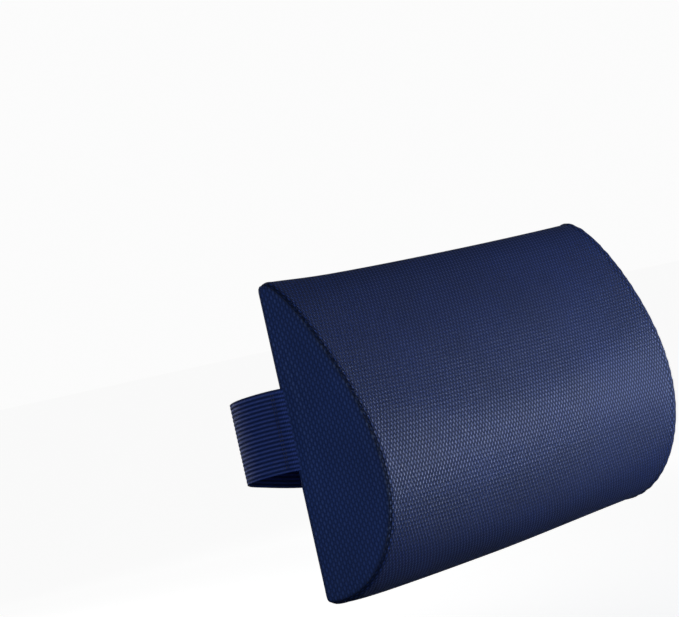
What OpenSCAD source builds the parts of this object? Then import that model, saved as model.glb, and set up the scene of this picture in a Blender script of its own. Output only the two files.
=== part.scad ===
// Headrest cushion for a chair back: a half-moon foam pillow in a woven cover, held by a
// two-part strap. Millimetres. +X to the right seen from the front, +Z up, front towards -Y.
// The origin is the centre of the flat back face, which rests on the chair.

/* [Cushion] */
// Length of the cushion, end panel to end panel
cushion_w = 400; // [300:10:450]
// Height of the flat back
cushion_h = 194; // [150:2:240]
// Depth at the deepest point
cushion_d = 60; // [45:1:75]
// Radius of the two long back edges
back_edge_r = 5; // [4.5:0.5:8]
// How low the deepest point sits: 1 is mid-height, larger is lower
sag = 1.55; // [1:0.05:1.8]
// How full the front is: smaller is squarer
fullness = 0.45; // [0.35:0.01:0.6]

/* [Cover] */
// Thickness of the woven cover
cover_t = 1.2; // [0.8:0.1:1.4]
// Width of the folded seam allowance
allowance_w = 8; // [6:1:12]
// Thickness of the sleeve around the foam
sleeve_t = 0.6; // [0.4:0.1:0.8]

/* [Elastic strap] */
// Width of the ribbed elastic
elastic_w = 50; // [38:1:60]
// Thickness of the ribbed elastic
elastic_t = 1.6; // [1.2:0.1:1.8]
// Straight stretch where the elastic leaves its seam
elastic_rise = 21; // [16:1:30]
// Bend radius at the crest of the elastic
elastic_bend_r = 25; // [18:1:30]

/* [Fabric strap] */
// Width of the fabric strap
fabric_w = 58; // [48:1:66]
// Thickness of one layer of the fabric strap
layer_t = 1.1; // [0.8:0.1:1.2]
// Free end of the fabric strap, measured from mid-length
tab_end_x = -3; // [-8:1:0]
// Length of the loose tab past the hook patch
tab_len = 15; // [13:1:17]

/* [Fastening] */
// Height of the overlap above the back face
overlap_y = 31; // [28:1:36]
// Thickness of each hook and loop patch
patch_t = 1.2; // [1:0.1:1.4]
// Room between parts that come apart
gap = 0.3; // [0.2:0.1:0.4]

/* [Hidden] */

navy = [0.09, 0.12, 0.27];
deep_navy = [0.06, 0.08, 0.2];
thread_navy = [0.2, 0.24, 0.42];
foam_grey = [0.85, 0.84, 0.8];

half_w = cushion_w / 2;
// The wrap stops at the end panels' inner faces
wrap_half = half_w - cover_t;
// Insets of the layers, from the cover's outer face inwards
allowance_in = 2 * cover_t;
foam_in = allowance_in + sleeve_t;
// The foam stops short of the end panels, which leaves room for the strap anchors
foam_half = wrap_half - 2.4;
front_steps = 44;
corner_steps = 6;

// Strap centre line's height: high at the elastic's seam, level over the overlap
elastic_root_z = 10;
overlap_z = -8;
// Length of elastic over which it comes down from the one to the other
elastic_fall = 150;
// The overlap leans back at the top
lean = 0.12;
// The overlap is level between these two places
level_from = -20;
elastic_end = 66;
level_to = 70;
// The roots stand just outside the end panels, clear of the back face
elastic_root = [-half_w - 0.7, 1.2];
fabric_root = [half_w + 0.9, 1.7];
fabric_stub = 1;
fabric_bend_r = 3;
fabric_drop = 20;
// Centre lines of the two straps over the overlap
fabric_y = overlap_y + elastic_t / 2 + gap + 2 * patch_t + layer_t;
tab_hinge_x = tab_end_x + tab_len;

// Profile of the cushion as [y, z] points, shrunk by inset on every side
function profile(inset) =
    let (h = cushion_h - 2 * inset, d = cushion_d - 2 * inset, r = back_edge_r - inset)
    concat(
        [for (i = [0 : corner_steps]) let (a = 90 * i / corner_steps)
            [-inset - r + r * cos(a), -h / 2 + r - r * sin(a)]],
        [for (i = [1 : front_steps - 1])
            let (t = (1 + cos(180 * i / front_steps)) / 2)
            [-inset - r - (d - r) * pow(sin(180 * pow(t, sag)), fullness), h / 2 - h * t]],
        [for (i = [0 : corner_steps]) let (a = 90 * i / corner_steps)
            [-inset - r + r * sin(a), h / 2 - r + r * cos(a)]]);

// A prism of the profile between two places along X
module prism(inset, x0, x1) {
    translate([x0, 0, 0]) rotate([90, 0, 90]) linear_extrude(x1 - x0) polygon(profile(inset));
}

// A tube of the profile between two insets
module tube(outer, inner, x0, x1) {
    translate([x0, 0, 0]) rotate([90, 0, 90]) linear_extrude(x1 - x0) difference() {
        polygon(profile(outer));
        polygon(profile(inner));
    }
}

// Smooth step from 0 at a to 1 at b
function ease(x, a, b) =
    let (u = min(1, max(0, (x - a) / (b - a)))) (1 - cos(180 * u)) / 2;

// Elastic centre line in plan: [x, y], from its seam over the crest to its free end
crest_x = elastic_root[0] + elastic_bend_r;
crest_y = elastic_root[1] + elastic_rise + elastic_bend_r;
elastic_plan = concat(
    [for (i = [0 : 3]) elastic_root + [0, elastic_rise * i / 4]],
    [for (i = [0 : 8]) let (a = 180 - 90 * i / 8)
        [crest_x + elastic_bend_r * cos(a), crest_y - elastic_bend_r + elastic_bend_r * sin(a)]],
    [for (i = [1 : 12]) let (x = crest_x + (level_from - crest_x) * i / 12)
        [x, crest_y + (overlap_y - crest_y) * ease(x, crest_x, level_from)]],
    [for (i = [1 : 8]) [level_from + (elastic_end - level_from) * i / 8, overlap_y]]);

// Fabric centre line in plan, from the tab's hinge down to its seam
ramp_end = fabric_root + [-fabric_bend_r * (1 - sin(fabric_drop)),
    fabric_stub + fabric_bend_r * cos(fabric_drop)];
fabric_plan = concat(
    [for (i = [0 : 6]) [tab_hinge_x + (level_to - tab_hinge_x) * i / 6, fabric_y]],
    [for (i = [1 : 12]) let (u = i / 12)
        [level_to + (ramp_end[0] - level_to) * u,
         ramp_end[1] + (fabric_y - ramp_end[1]) * cos(90 * u)]],
    [for (i = [1 : 5]) let (a = 90 - fabric_drop - (90 - fabric_drop) * i / 5)
        fabric_root + [fabric_bend_r * (cos(a) - 1), fabric_stub + fabric_bend_r * sin(a)]],
    [fabric_root]);

tab_plan = [[tab_end_x, fabric_y], [tab_hinge_x - gap, fabric_y]];

// Distance along the elastic from its seam to a place on its centre line
function elastic_run(p) =
    let (u = min(1, max(0, (crest_x - p[0]) / elastic_bend_r)))
    min(elastic_rise, p[1] - elastic_root[1]) + elastic_bend_r * acos(u) * PI / 180
    + max(0, p[0] - crest_x);

// Height and lean of a strap at a place; the lean fades out towards both seams
function elastic_z(p) =
    elastic_root_z + (overlap_z - elastic_root_z) * ease(elastic_run(p), 0, elastic_fall);
function elastic_lean(p) = lean * ease(p[0], crest_x, level_from);
function fabric_lean(p) = lean * (1 - ease(p[0], level_to, ramp_end[0]));

// Unit normal of a plan line at point i, on the line's left
function normal(line, i) =
    let (a = line[max(0, i - 1)], b = line[min(len(line) - 1, i + 1)], d = b - a)
    [-d[1], d[0]] / norm(d);

// A ribbon along a plan line. n0 and n1 are its faces' offsets along the normal, z0 and z1
// its lower and upper edges from the centre height, zs and ks the heights and leans.
module ribbon(line, zs, ks, n0, n1, z0, z1) {
    count = len(line);
    points = [for (i = [0 : count - 1], c = [[n0, z0], [n1, z0], [n1, z1], [n0, z1]])
        let (p = line[i] + c[0] * normal(line, i)) [p[0], p[1] + ks[i] * c[1], zs[i] + c[1]]];
    sides = [for (i = [0 : count - 2], k = [0 : 3])
        let (a = 4 * i + k, b = 4 * i + (k + 1) % 4) each [[a, b, b + 4], [a, b + 4, a + 4]]];
    last = 4 * (count - 1);
    ends = [[0, 3, 2], [0, 2, 1], [last, last + 1, last + 2], [last, last + 2, last + 3]];
    polyhedron(points, concat(sides, ends), convexity = 6);
}

// A ribbon on the elastic strap or on the fabric strap
module on_elastic(line, n0, n1, z0, z1) {
    ribbon(line, [for (p = line) elastic_z(p)], [for (p = line) elastic_lean(p)],
        n0, n1, z0, z1);
}
module on_fabric(line, n0, n1, z0, z1) {
    ribbon(line, [for (p = line) overlap_z], [for (p = line) fabric_lean(p)], n0, n1, z0, z1);
}

// The level stretch of a strap between two places along X
function level(x0, x1, y) = [[x0, y], [x1, y]];

// Size of the patches, of the thread rows and of the sewn-in ends
loop_x = [6, 64];
hook_x = [14, 60];
loop_half = elastic_w / 2 - 3;
hook_half = elastic_w / 2 - 4;
thread_w = 0.8;
thread_t = 0.3;
row_in = 2;
anchor_depth = 9;

module foam_core() {
    color(foam_grey) prism(foam_in, -foam_half, foam_half);
}
module core_sleeve() {
    color("whitesmoke") tube(allowance_in, foam_in, -foam_half, foam_half);
}
module cover_wrap() {
    color(navy) tube(0, cover_t, -wrap_half, wrap_half);
}
// The lapped seam that closes the wrap into a tube, inside the back, behind the straps
module back_seam_allowance() {
    color(deep_navy) translate([-foam_half + allowance_w, -allowance_in, overlap_z])
        cube([2 * (foam_half - allowance_w), cover_t, allowance_w]);
}

module end_panel() {
    prism(0, wrap_half, half_w);
}
module seam_allowance() {
    tube(cover_t, allowance_in, wrap_half - allowance_w, wrap_half);
}
module seam_thread() {
    tube(allowance_in, allowance_in + thread_t, wrap_half - 2 * thread_w, wrap_half - thread_w);
}
module left_end_panel() {
    color(navy) mirror([1, 0, 0]) end_panel();
}
module right_end_panel() {
    color(navy) end_panel();
}
module left_seam_allowance() {
    color(deep_navy) mirror([1, 0, 0]) seam_allowance();
}
module right_seam_allowance() {
    color(deep_navy) seam_allowance();
}
module left_seam_thread() {
    color(thread_navy) mirror([1, 0, 0]) seam_thread();
}
module right_seam_thread() {
    color(thread_navy) seam_thread();
}

// The straps' sewn-in ends lie flat inside the end panels
anchor_top = -foam_in - gap;
module elastic_anchor() {
    color(deep_navy)
        translate([-wrap_half, anchor_top - anchor_depth, elastic_root_z - elastic_w / 2])
        cube([elastic_t, anchor_depth, elastic_w]);
}
module fabric_anchor() {
    color(deep_navy)
        translate([wrap_half - 2 * layer_t, anchor_top - anchor_depth, overlap_z - fabric_w / 2])
        cube([2 * layer_t, anchor_depth, fabric_w]);
}

module elastic_strap() {
    color(navy)
        on_elastic(elastic_plan, -elastic_t / 2, elastic_t / 2, -elastic_w / 2, elastic_w / 2);
}
// Row of stitches across the elastic just above its seam
module elastic_tack() {
    color(thread_navy) on_elastic([elastic_plan[1], elastic_plan[1] + [0, 3]],
        elastic_t / 2, elastic_t / 2 + thread_t, -elastic_w / 2 + row_in, elastic_w / 2 - row_in);
}
module loop_patch() {
    color(deep_navy) on_elastic(level(loop_x[0], loop_x[1], overlap_y),
        elastic_t / 2, elastic_t / 2 + patch_t, -loop_half, loop_half);
}
module fabric_strap() {
    color(navy) on_fabric(fabric_plan, 0, layer_t, -fabric_w / 2, fabric_w / 2);
}
module fabric_strap_lining() {
    color(deep_navy) on_fabric(fabric_plan, -layer_t, 0, -fabric_w / 2, fabric_w / 2);
}
module fabric_tack() {
    last_ramp = 6 + 12;
    color(thread_navy) on_fabric([fabric_plan[last_ramp - 1], fabric_plan[last_ramp]],
        layer_t, layer_t + thread_t, -fabric_w / 2 + row_in, fabric_w / 2 - row_in);
}
module hook_patch() {
    color(deep_navy) on_fabric(level(hook_x[0], hook_x[1], fabric_y),
        -layer_t - patch_t, -layer_t, -hook_half, hook_half);
}

// Four rows of thread round a patch, on the far face of the strap that carries it. The
// patch runs from x[0] to x[1] and half up and down; the rows stay clear of each other.
function row_places(x, half) =
    let (x0 = x[0] + row_in, x1 = x[1] - row_in, z = half - row_in)
    [[x0, x1, -z - thread_w, -z], [x0, x1, z, z + thread_w],
     [x0, x0 + thread_w, -z + gap, z - gap], [x1 - thread_w, x1, -z + gap, z - gap]];
module loop_patch_thread() {
    color(thread_navy) for (row = row_places(loop_x, loop_half))
        on_elastic(level(row[0], row[1], overlap_y),
            -elastic_t / 2 - thread_t, -elastic_t / 2, row[2], row[3]);
}
module hook_patch_thread() {
    color(thread_navy) for (row = row_places(hook_x, hook_half))
        on_fabric(level(row[0], row[1], fabric_y),
            layer_t, layer_t + thread_t, row[2], row[3]);
}

module pull_tab() {
    color(navy) on_fabric(tab_plan, 0, layer_t, -fabric_w / 2, fabric_w / 2);
}
module pull_tab_lining() {
    color(deep_navy) on_fabric(tab_plan, -layer_t, 0, -fabric_w / 2, fabric_w / 2);
}
// The turned-in end of the tab
module tab_hem() {
    color(navy) on_fabric(level(tab_end_x, tab_end_x + allowance_w, fabric_y),
        -2 * layer_t, -layer_t, -fabric_w / 2, fabric_w / 2);
}

foam_core();
core_sleeve();
cover_wrap();
back_seam_allowance();
left_end_panel();
right_end_panel();
left_seam_allowance();
right_seam_allowance();
left_seam_thread();
right_seam_thread();
elastic_anchor();
fabric_anchor();
elastic_strap();
elastic_tack();
loop_patch();
loop_patch_thread();
fabric_strap();
fabric_strap_lining();
fabric_tack();
hook_patch();
hook_patch_thread();
pull_tab();
pull_tab_lining();
tab_hem();
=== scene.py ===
import math

import bpy
import numpy as np
from mathutils import Matrix, Vector


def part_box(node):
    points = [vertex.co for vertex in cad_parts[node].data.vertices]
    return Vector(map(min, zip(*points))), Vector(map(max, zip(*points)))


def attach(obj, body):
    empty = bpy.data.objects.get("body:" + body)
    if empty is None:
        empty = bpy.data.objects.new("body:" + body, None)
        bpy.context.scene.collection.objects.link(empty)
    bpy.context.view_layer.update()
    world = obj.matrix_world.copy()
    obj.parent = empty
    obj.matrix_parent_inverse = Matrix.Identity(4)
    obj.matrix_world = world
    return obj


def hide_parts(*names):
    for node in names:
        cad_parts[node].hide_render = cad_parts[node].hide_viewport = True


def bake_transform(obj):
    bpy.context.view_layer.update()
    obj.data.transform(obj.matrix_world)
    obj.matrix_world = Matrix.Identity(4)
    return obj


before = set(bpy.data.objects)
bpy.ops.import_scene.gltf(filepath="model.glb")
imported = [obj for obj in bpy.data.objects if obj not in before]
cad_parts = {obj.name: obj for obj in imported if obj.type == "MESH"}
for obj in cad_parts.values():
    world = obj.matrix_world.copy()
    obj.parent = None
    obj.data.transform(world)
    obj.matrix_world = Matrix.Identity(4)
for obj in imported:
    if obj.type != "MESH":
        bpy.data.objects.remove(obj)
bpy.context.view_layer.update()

MM = 0.001

# ---------------- sizes, from the frame
WRAP_LO, WRAP_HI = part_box("cover_wrap")
SEAM_X = WRAP_HI.x
HEIGHT = WRAP_HI.z - WRAP_LO.z
DEPTH = WRAP_HI.y - WRAP_LO.y
# The profile's rule is the CAD model's; the right end is rounder and its deepest point higher
EDGE_R = 5 * MM
SAG, SAG_RIGHT = 1.55, 1.36
FULLNESS = 0.45
DEPTH_RIGHT = DEPTH - 1.5 * MM
# The wrap's closing seam lies behind the straps
JOIN_Z = -8 * MM

ELASTIC_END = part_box("elastic_strap")[1].x
FABRIC_LO, FABRIC_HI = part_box("fabric_strap")
TAB_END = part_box("pull_tab")[0].x
LOOP_LO, LOOP_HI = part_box("loop_patch")
HOOK_LO, HOOK_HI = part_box("hook_patch")


# ---------------- small helpers
def smooth(x, a, b):
    """A smooth step from 0 at a to 1 at b."""
    u = np.clip((np.asarray(x, float) - a) / (b - a), 0, 1)
    return u * u * (3 - 2 * u)


def cosine_ease(x, a, b):
    """The CAD model's own step from 0 at a to 1 at b."""
    u = np.clip((np.asarray(x, float) - a) / (b - a), 0, 1)
    return (1 - np.cos(np.pi * u)) / 2


def ripple(x, seed, waves, low, high):
    """A repeatable irregular ripple of unit size, from sines with periods between low and high."""
    rng = np.random.default_rng(seed)
    total = np.zeros_like(np.asarray(x, float))
    for _ in range(waves):
        period = rng.uniform(low, high)
        total += np.sin(2 * np.pi * x / period + rng.uniform(0, 2 * np.pi))
    return total / math.sqrt(waves / 2)


def mesh_piece(name, points, faces, uv=None):
    """A mesh object from points and faces, with its cloth coordinates in metres in a UV map."""
    mesh = bpy.data.meshes.new(name)
    mesh.from_pydata([tuple(p) for p in points], [], [tuple(f) for f in faces])
    if uv is not None:
        layer = mesh.uv_layers.new(name="cloth")
        loops = np.zeros(len(mesh.loops), np.int32)
        mesh.loops.foreach_get("vertex_index", loops)
        coords = uv(loops) if callable(uv) else np.asarray(uv)[loops]
        layer.data.foreach_set("uv", np.asarray(coords, np.float32).ravel())
    mesh.validate()
    mesh.update()
    mesh.shade_smooth()
    piece = bpy.data.objects.new(name, mesh)
    bpy.context.scene.collection.objects.link(piece)
    return piece


def mark(piece, name, values):
    """A value for each point, which the material reads by name."""
    layer = piece.data.attributes.new(name, "FLOAT", "POINT")
    layer.data.foreach_set("value", np.asarray(values, np.float32).ravel())


def grid_faces(rows, columns, wrap_columns=False):
    """Quads over a grid of rows by columns of points."""
    last = columns if wrap_columns else columns - 1
    return [
        (r * columns + c, r * columns + (c + 1) % columns,
         (r + 1) * columns + (c + 1) % columns, (r + 1) * columns + c)
        for r in range(rows - 1) for c in range(last)
    ]


def finish_piece(piece, material, body, stands_for):
    """A piece's one material, the body it rides on and the CAD nodes it replaces."""
    piece.data.materials.clear()
    piece.data.materials.append(material)
    if body:
        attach(piece, body)
    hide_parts(*stands_for)
    return piece


def run_along(points):
    """The distance along a line of points to each of them."""
    return np.concatenate([[0], np.cumsum(np.linalg.norm(np.diff(points, axis=0), axis=1))])


def grid_uv(rows, columns):
    """Cloth coordinates for a grid of points."""
    return np.stack(np.broadcast_arrays(rows[:, None], columns[None]), -1).reshape(-1, 2)


# ---------------- materials
class Nodes:
    """A material's node tree with short calls for maths on its values."""

    def __init__(self, name):
        self.material = bpy.data.materials.new(name)
        self.material.use_nodes = True
        self.tree = self.material.node_tree
        self.shader = self.tree.nodes["Principled BSDF"]

    def new(self, kind, **settings):
        made = self.tree.nodes.new(kind)
        for key, value in settings.items():
            setattr(made, key, value)
        return made

    def link(self, source, target):
        self.tree.links.new(source, target)

    def put(self, value, socket):
        """A constant set on a socket, or another node's output linked to it."""
        if isinstance(value, (int, float, tuple)):
            socket.default_value = value
        else:
            self.link(value, socket)

    def maths(self, operation, a, b=0.0):
        made = self.new("ShaderNodeMath", operation=operation)
        self.put(a, made.inputs[0])
        self.put(b, made.inputs[1])
        return made.outputs[0]

    def noise(self, scale, detail, vector):
        """Noise from 0 to 1, with scale in cells a metre."""
        made = self.new("ShaderNodeTexNoise")
        made.inputs["Scale"].default_value = scale
        made.inputs["Detail"].default_value = detail
        self.link(vector, made.inputs["Vector"])
        return made.outputs["Fac"]

    def ramp(self, value, stops):
        """A colour for each value, from stops of a place and a colour."""
        made = self.new("ShaderNodeValToRGB")
        self.link(value, made.inputs["Fac"])
        elements = made.color_ramp.elements
        while len(elements) < len(stops):
            elements.new(0.5)
        for element, (place, colour) in zip(elements, stops):
            element.position = place
            element.color = (*colour, 1)
        return made.outputs["Color"]

    def scaled(self, colour, value):
        """The colour times a grey value."""
        made = self.new("ShaderNodeMix", data_type="RGBA", blend_type="MULTIPLY")
        made.inputs["Factor"].default_value = 1
        self.link(colour, made.inputs["A"])
        self.link(value, made.inputs["B"])
        return made.outputs["Result"]

    def bump(self, height):
        """A bump from a height in metres."""
        made = self.new("ShaderNodeBump")
        made.inputs["Strength"].default_value = 1.0
        made.inputs["Distance"].default_value = 1.0
        self.link(height, made.inputs["Height"])
        self.link(made.outputs["Normal"], self.shader.inputs["Normal"])

    def set(self, **sockets):
        """Values for the shader's own sockets."""
        for key, value in sockets.items():
            self.put(value, self.shader.inputs[key.replace("_", " ")])


def range_to(nodes, value, *limits):
    """A value moved from one range to another and held inside it."""
    made = nodes.new("ShaderNodeMapRange")
    nodes.link(value, made.inputs["Value"])
    for key, number in zip(("From Min", "From Max", "To Min", "To Max"), limits):
        made.inputs[key].default_value = number
    return made.outputs["Result"]


def cloth_uv(nodes):
    """The two cloth coordinates, in metres."""
    place = nodes.new("ShaderNodeUVMap", uv_map="cloth")
    parts = nodes.new("ShaderNodeSeparateXYZ")
    nodes.link(place.outputs["UV"], parts.inputs[0])
    return place.outputs["UV"], parts.outputs["X"], parts.outputs["Y"]


# Spacing of the cover cloth's threads: warp threads side by side, weft threads side by side
WARP_PITCH = 1.9 * MM
WEFT_PITCH = 2.5 * MM
# How fast a thread's section falls away to its sides; 4 makes neighbours just touch
THREAD_FALL = 4.9


def weave_heights(nodes, u, v):
    """Heights from 0 to 1 of the warp and the weft of a plain weave.

    A thread's section is a half round, and it rises over every other crossing thread."""
    m = nodes.maths
    a, b = m("DIVIDE", u, WARP_PITCH), m("DIVIDE", v, WEFT_PITCH)

    def thread(along, across):
        """A thread's section, and its wave over and under."""
        index = m("FLOOR", across)
        offset = m("SUBTRACT", m("FRACT", across), 0.5)
        fall = m("MULTIPLY", m("MULTIPLY", offset, offset), THREAD_FALL)
        round_section = m("SQRT", m("MAXIMUM", m("SUBTRACT", 1.0, fall), 0.0))
        phase = m("MULTIPLY", m("ADD", along, index), math.pi)
        return round_section, m("SINE", phase)

    warp_section, warp_wave = thread(b, a)
    weft_section, weft_wave = thread(a, b)
    warp = m("MULTIPLY", warp_section, m("ADD", m("MULTIPLY", warp_wave, 0.42), 0.58))
    weft = m("MULTIPLY", weft_section, m("ADD", m("MULTIPLY", weft_wave, -0.26), 0.26))
    return warp, weft


# Tint of the cloths' gloss
BLUE_GLOSS = (0.5, 0.66, 1.0, 1)


def woven(name, dark, mid, light, relief=0.34 * MM):
    """A coarse plain weave: dark between the threads, as painted shade, and lighter on their crowns."""
    nodes = Nodes(name)
    m = nodes.maths
    uv, u, v = cloth_uv(nodes)
    wander = nodes.noise(60, 2, uv)
    u = m("ADD", u, m("MULTIPLY", m("SUBTRACT", wander, 0.5), 0.9 * MM))
    warp, weft = weave_heights(nodes, u, v)
    height = m("MAXIMUM", warp, weft)
    # Fine yarn twist, and slow changes of tone over the cloth
    twist = nodes.noise(2600, 2, uv)
    patches = nodes.noise(14, 3, uv)
    height = m("ADD", height, m("MULTIPLY", m("SUBTRACT", twist, 0.5), 0.25))
    # The colour darkens from the crowns down into the gaps: painted shade between the threads
    colour = nodes.ramp(height, ((0.3, dark), (0.62, mid), (0.95, light)))
    tone = range_to(nodes, patches, 0.3, 0.7, 0.86, 1.12)
    speck = range_to(nodes, twist, 0.3, 0.75, 0.8, 1.25)
    # Painted shade along the end seams: the points' crease value darkens the colour
    crease = nodes.new("ShaderNodeAttribute", attribute_name="crease").outputs["Fac"]
    shade = m("MULTIPLY", m("MULTIPLY", tone, speck), range_to(nodes, crease, 0, 1, 1, 0.15))
    nodes.set(Base_Color=nodes.scaled(colour, shade), Roughness=range_to(nodes, height, 0.2, 1.0, 0.9, 0.34),
              Sheen_Weight=0.03, Sheen_Roughness=0.4, Sheen_Tint=(0.55, 0.62, 1.0, 1),
              Specular_IOR_Level=0.5, Specular_Tint=BLUE_GLOSS)
    nodes.bump(m("MULTIPLY", height, relief))
    return nodes.material


def elastic_material():
    """Ribbed elastic: cords along the strap with fine picks across them."""
    nodes = Nodes("elastic_webbing")
    m = nodes.maths
    uv, u, v = cloth_uv(nodes)
    picks = m("SINE", m("MULTIPLY", u, 2 * math.pi / (0.9 * MM)))
    ribs = m("SINE", m("MULTIPLY", v, 2 * math.pi / RIB_PITCH))
    lint = nodes.noise(1800, 2, uv)
    fine = m("ADD", m("MULTIPLY", picks, 0.22), m("MULTIPLY", lint, 0.3))
    height = m("ADD", m("MULTIPLY", ribs, 0.5), fine)
    # Dark in the grooves between the cords, light on their tops: painted shade in the grooves
    stops = ((0.1, (0.003, 0.009, 0.050)), (0.55, (0.013, 0.030, 0.150)), (1.0, (0.036, 0.066, 0.300)))
    colour = nodes.ramp(range_to(nodes, height, -0.5, 0.8, 0.0, 1.0), stops)
    nodes.set(Base_Color=colour, Roughness=range_to(nodes, lint, 0.3, 0.7, 0.55, 0.75), Sheen_Weight=0.03,
              Sheen_Roughness=0.4, Specular_IOR_Level=0.3, Specular_Tint=BLUE_GLOSS)
    nodes.bump(m("MULTIPLY", m("ADD", picks, lint), 0.07 * MM))
    return nodes.material


def thread_material(name, base, light):
    """Twisted polyester thread."""
    nodes = Nodes(name)
    m = nodes.maths
    _, u, v = cloth_uv(nodes)
    twist = m("SINE", m("MULTIPLY", m("ADD", u, v), 2 * math.pi / (0.7 * MM)))
    colour = nodes.ramp(range_to(nodes, twist, -1, 1, 0, 1), ((0.0, base), (1.0, light)))
    nodes.set(Base_Color=colour, Roughness=range_to(nodes, twist, -1, 1, 0.55, 0.4), Specular_IOR_Level=0.5)
    nodes.bump(m("MULTIPLY", twist, 0.05 * MM))
    return nodes.material


def fuzzy_material(name, dark, light, scale, relief):
    """Felted or foamed stuff: a fine irregular surface."""
    nodes = Nodes(name)
    m = nodes.maths
    place = nodes.new("ShaderNodeTexCoord").outputs["Object"]
    fine, broad = nodes.noise(scale, 4, place), nodes.noise(scale / 9, 2, place)
    height = m("ADD", m("MULTIPLY", fine, 0.7), m("MULTIPLY", broad, 0.3))
    nodes.set(Base_Color=nodes.ramp(height, ((0.3, dark), (0.7, light))),
              Roughness=range_to(nodes, fine, 0.3, 0.7, 0.75, 0.95), Sheen_Weight=0.3, Specular_IOR_Level=0.3)
    nodes.bump(m("MULTIPLY", height, relief))
    return nodes.material


RIB_PITCH = 2.5 * MM
COVER = woven("navy_weave", (0.0011, 0.0040, 0.026), (0.0078, 0.0245, 0.138), (0.028, 0.062, 0.270))
# A lighter, flatter copy of the cover's weave for the left end: painted light
LEFT_END_LIT_WEAVE = woven("left_end_weave_painted_light", (0.0075, 0.0195, 0.090), (0.0155, 0.0370, 0.165), (0.0245, 0.054, 0.225),
              relief=0.12 * MM)
STRAP = woven("strap_weave", (0.0014, 0.0042, 0.026), (0.0065, 0.0190, 0.105), (0.020, 0.044, 0.205))
ELASTIC = elastic_material()
THREAD = thread_material("navy_thread", (0.003, 0.006, 0.026), (0.009, 0.017, 0.070))
# A lighter copy of the navy thread: painted light, for the stitches on the right seam's ridge
LIT_SEAM_THREAD = thread_material("seam_thread", (0.012, 0.020, 0.080), (0.040, 0.055, 0.160))
# A pale copy of the thread: its paleness is painted highlight, for stitches that catch the light
GLINT_THREAD = thread_material("thread_painted_glints", (0.10, 0.12, 0.24), (0.30, 0.34, 0.52))
LOOP = fuzzy_material("loop_pile", (0.004, 0.006, 0.024), (0.016, 0.022, 0.070), 900, 0.6 * MM)
HOOK = fuzzy_material("hook_nylon", (0.004, 0.006, 0.022), (0.010, 0.014, 0.048), 2200, 0.1 * MM)
FOAM = fuzzy_material("foam", (0.62, 0.59, 0.50), (0.82, 0.80, 0.72), 700, 0.5 * MM)
SLEEVE = fuzzy_material("knit_sleeve", (0.55, 0.55, 0.55), (0.80, 0.80, 0.80), 1500, 0.2 * MM)
INNER = fuzzy_material("inner_cloth", (0.005, 0.010, 0.045), (0.012, 0.024, 0.100), 1200, 0.25 * MM)


# ---------------- the cushion's profile
def dense_outline(sag, depth):
    """The profile as [y, z] points, from the join line down the back, round the front and back up."""
    corner = np.linspace(0, np.pi / 2, 24)
    t = (1 + np.cos(np.linspace(0, np.pi, 900)))[1:-1] / 2
    bottom = np.stack([-EDGE_R + EDGE_R * np.cos(corner),
                       -HEIGHT / 2 + EDGE_R - EDGE_R * np.sin(corner)], 1)
    front = np.stack([-EDGE_R - (depth - EDGE_R) * np.sin(np.pi * t ** sag) ** FULLNESS,
                      HEIGHT / 2 - HEIGHT * t], 1)
    top = np.stack([-EDGE_R + EDGE_R * np.sin(corner),
                    HEIGHT / 2 - EDGE_R + EDGE_R * np.cos(corner)], 1)
    join = np.array([[0, JOIN_Z]])
    return np.concatenate([join, bottom, front, top, join])


OUTLINE = dense_outline(SAG, DEPTH)
OUTLINE_RIGHT = dense_outline(SAG_RIGHT, DEPTH_RIGHT)
OUTLINE_AT = run_along(OUTLINE)
GIRTH = OUTLINE_AT[-1]


def outline(v, x):
    """Points of the profile at distances v along it, at places x along the cushion."""
    v = np.mod(v, GIRTH)
    share = cosine_ease(x, -1.2 * SEAM_X, 1.05 * SEAM_X)
    left, right = (
        np.stack([np.interp(v, OUTLINE_AT, points[:, k]) for k in (0, 1)], -1)
        for points in (OUTLINE, OUTLINE_RIGHT)
    )
    return left + np.asarray(share)[..., None] * (right - left)


def outline_normal(v, x, span=1.6 * MM):
    """The profile's outward direction, smoothed over a short span."""
    along = outline(v + span, x) - outline(v - span, x)
    out = np.stack([-along[..., 1], along[..., 0]], -1)
    return out / np.linalg.norm(out, axis=-1, keepdims=True)


# The middle of an end panel, from which its rings spread
HUB = np.array([-0.4 * DEPTH, -0.06 * HEIGHT])
# Depth of the crease along an end seam, and how far the wrap rolls in towards it
GROOVE = 0.9 * MM
ROLL_LEFT, ROLL_RIGHT, ROLL_W = 0.2 * MM, 0.7 * MM, 8 * MM


def seam_depth(v, side):
    """How deep the crease and the roll are round an end seam, as two values; nothing along the back."""
    back = smooth(outline_normal(v, side * SEAM_X)[..., 0], 0.2, 0.9)
    share = 1 - back
    return GROOVE * share, (ROLL_RIGHT if side > 0 else ROLL_LEFT) * share


def seam_curve(v, side, out=0.0):
    """The end seam in [y, z]: the profile drawn in by the depth of its crease and roll."""
    x = side * SEAM_X
    return outline(v, x) + (out - sum(seam_depth(v, side)))[..., None] * outline_normal(v, x)


# ---------------- inflating the cover
COARSE_U, COARSE_V, COARSE_RINGS = 49, 84, 9
# The simulation's pressure and frames, then the limit on its result and how often that is smoothed
PRESSURE, FRAMES = 4.0, 20
MOST_BULGE = 1.6 * MM
SMOOTHINGS = 8


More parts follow.
